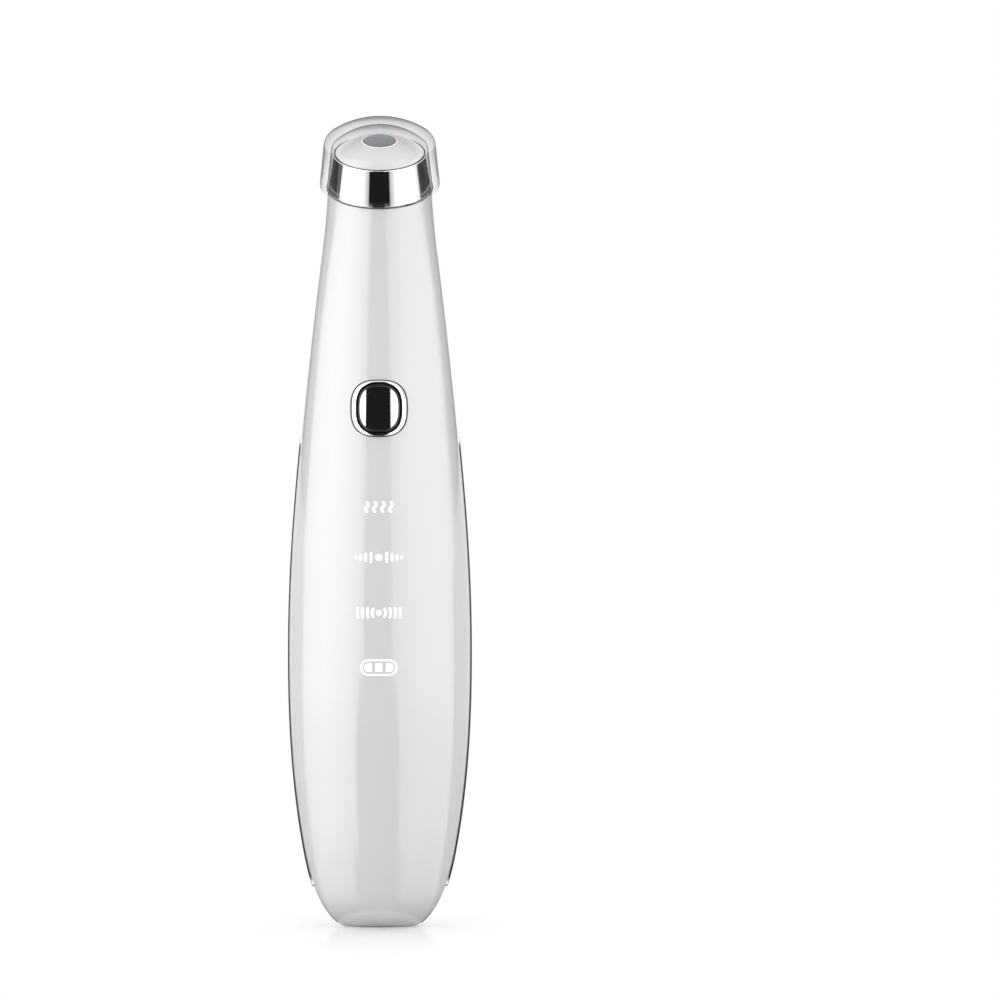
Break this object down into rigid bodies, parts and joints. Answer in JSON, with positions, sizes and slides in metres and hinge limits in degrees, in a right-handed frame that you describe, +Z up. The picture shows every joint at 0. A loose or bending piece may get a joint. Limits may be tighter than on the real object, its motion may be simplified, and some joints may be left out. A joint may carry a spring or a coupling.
{
  "type": "heated eye massager wand",
  "caption": "Slim tapered hand-held wand with a tilted round warm head under a clear dust cap, a chrome push button and a charging socket in its foot.",
  "frame": {"origin": "middle of the charging socket's mouth, in the plane of the flat foot", "axes": "+Z up along the handle to the head, -Y towards the button side, +X to the wand's right seen from the button side"},
  "size_m": [0.034, 0.0257, 0.149],
  "materials": {
    "shell_white": "glossy white moulded plastic",
    "trim_chrome": "bright chrome plated strip",
    "bezel_chrome": "bright chrome plated ring",
    "button_chrome": "bright chrome plated button",
    "band_chrome": "mirror chrome band",
    "plate_satin": "satin metal dome",
    "window_ring": "bright thin ring",
    "window_grey": "grey tinted light window",
    "seal_grey": "dark grey rubber",
    "cap_clear": "clear glossy plastic",
    "board_green": "green solder mask",
    "chip_black": "black moulded chip",
    "light_white": "small white light",
    "baffle_black": "black light box",
    "diffuser_milk": "milky diffuser sheet",
    "socket_steel": "bright socket shell",
    "tongue_black": "black contact tongue",
    "switch_steel": "sheet metal switch can",
    "plunger_black": "black switch plunger",
    "frame_natural": "natural moulded frame",
    "screw_steel": "small steel screws",
    "cell_silver": "silver pouch cell",
    "pad_foam": "thin foam pad",
    "lead_red": "insulated wire",
    "motor_steel": "small motor can",
    "shaft_steel": "ground shaft",
    "weight_metal": "dense sintered weight",
    "sleeve_rubber": "black rubber sleeve",
    "carrier_white": "heat resistant carrier",
    "heater_ceramic": "flat ceramic heater",
    "sensor_bead": "temperature sensor bead",
    "lamp_board_white": "white lamp board",
    "lamp_red": "red lamp",
    "ribbon_amber": "amber flat cable"
  },
  "bodies": {
    "handle": {"front_shell": "shell_white", "rear_shell": "shell_white", "left_trim": "trim_chrome", "right_trim": "trim_chrome", "button_bezel": "bezel_chrome", "tact_switch": "switch_steel", "neck_seal": "seal_grey", "head_band": "band_chrome", "contact_plate": "plate_satin", "window_ring": "window_ring", "light_window": "window_grey", "heater_ring": "heater_ceramic", "temperature_sensor": "sensor_bead", "lamp_board": "lamp_board_white", "red_lamp": "lamp_red", "head_carrier": "carrier_white", "main_board": "board_green", "control_chip": "chip_black", "charger_chip": "chip_black", "mode_lights": "light_white", "gauge_lights": "light_white", "light_baffle": "baffle_black", "light_diffuser": "diffuser_milk", "usb_shell": "socket_steel", "usb_tongue": "tongue_black", "inner_frame": "frame_natural", "frame_screws": "screw_steel", "battery_cell": "cell_silver", "battery_pad": "pad_foam", "battery_leads": "lead_red", "motor_can": "motor_steel", "motor_sleeve": "sleeve_rubber", "head_ribbon": "ribbon_amber"},
    "button": {"button_cap": "button_chrome"},
    "plunger": {"switch_plunger": "plunger_black"},
    "cap": {"clear_cap": "cap_clear"},
    "rotor": {"motor_shaft": "shaft_steel", "eccentric_weight": "weight_metal"}
  },
  "joints": [
    {"name": "button_press", "type": "slide", "parent": "handle", "child": "button", "axis": [0, 1, 0], "range_m": [0, 0.00035], "stiffness_N_per_m": 1500, "springref_m": -0.0005},
    {"name": "plunger_press", "type": "slide", "parent": "handle", "child": "plunger", "axis": [0, 1, 0], "range_m": [0, 0.00035]},
    {"name": "cap_pull", "type": "slide", "parent": "handle", "child": "cap", "axis": [0, -0.3633, 0.9317], "range_m": [0, 0.014]},
    {"name": "motor_spin", "type": "hinge", "parent": "handle", "child": "rotor", "pos_m": [0, 0.00397, 0.117], "axis": [0, 0, 1], "continuous": true}
  ],
  "couplings": [
    {"joint": "plunger_press", "follows": "button_press", "ratio": 1}
  ]
}
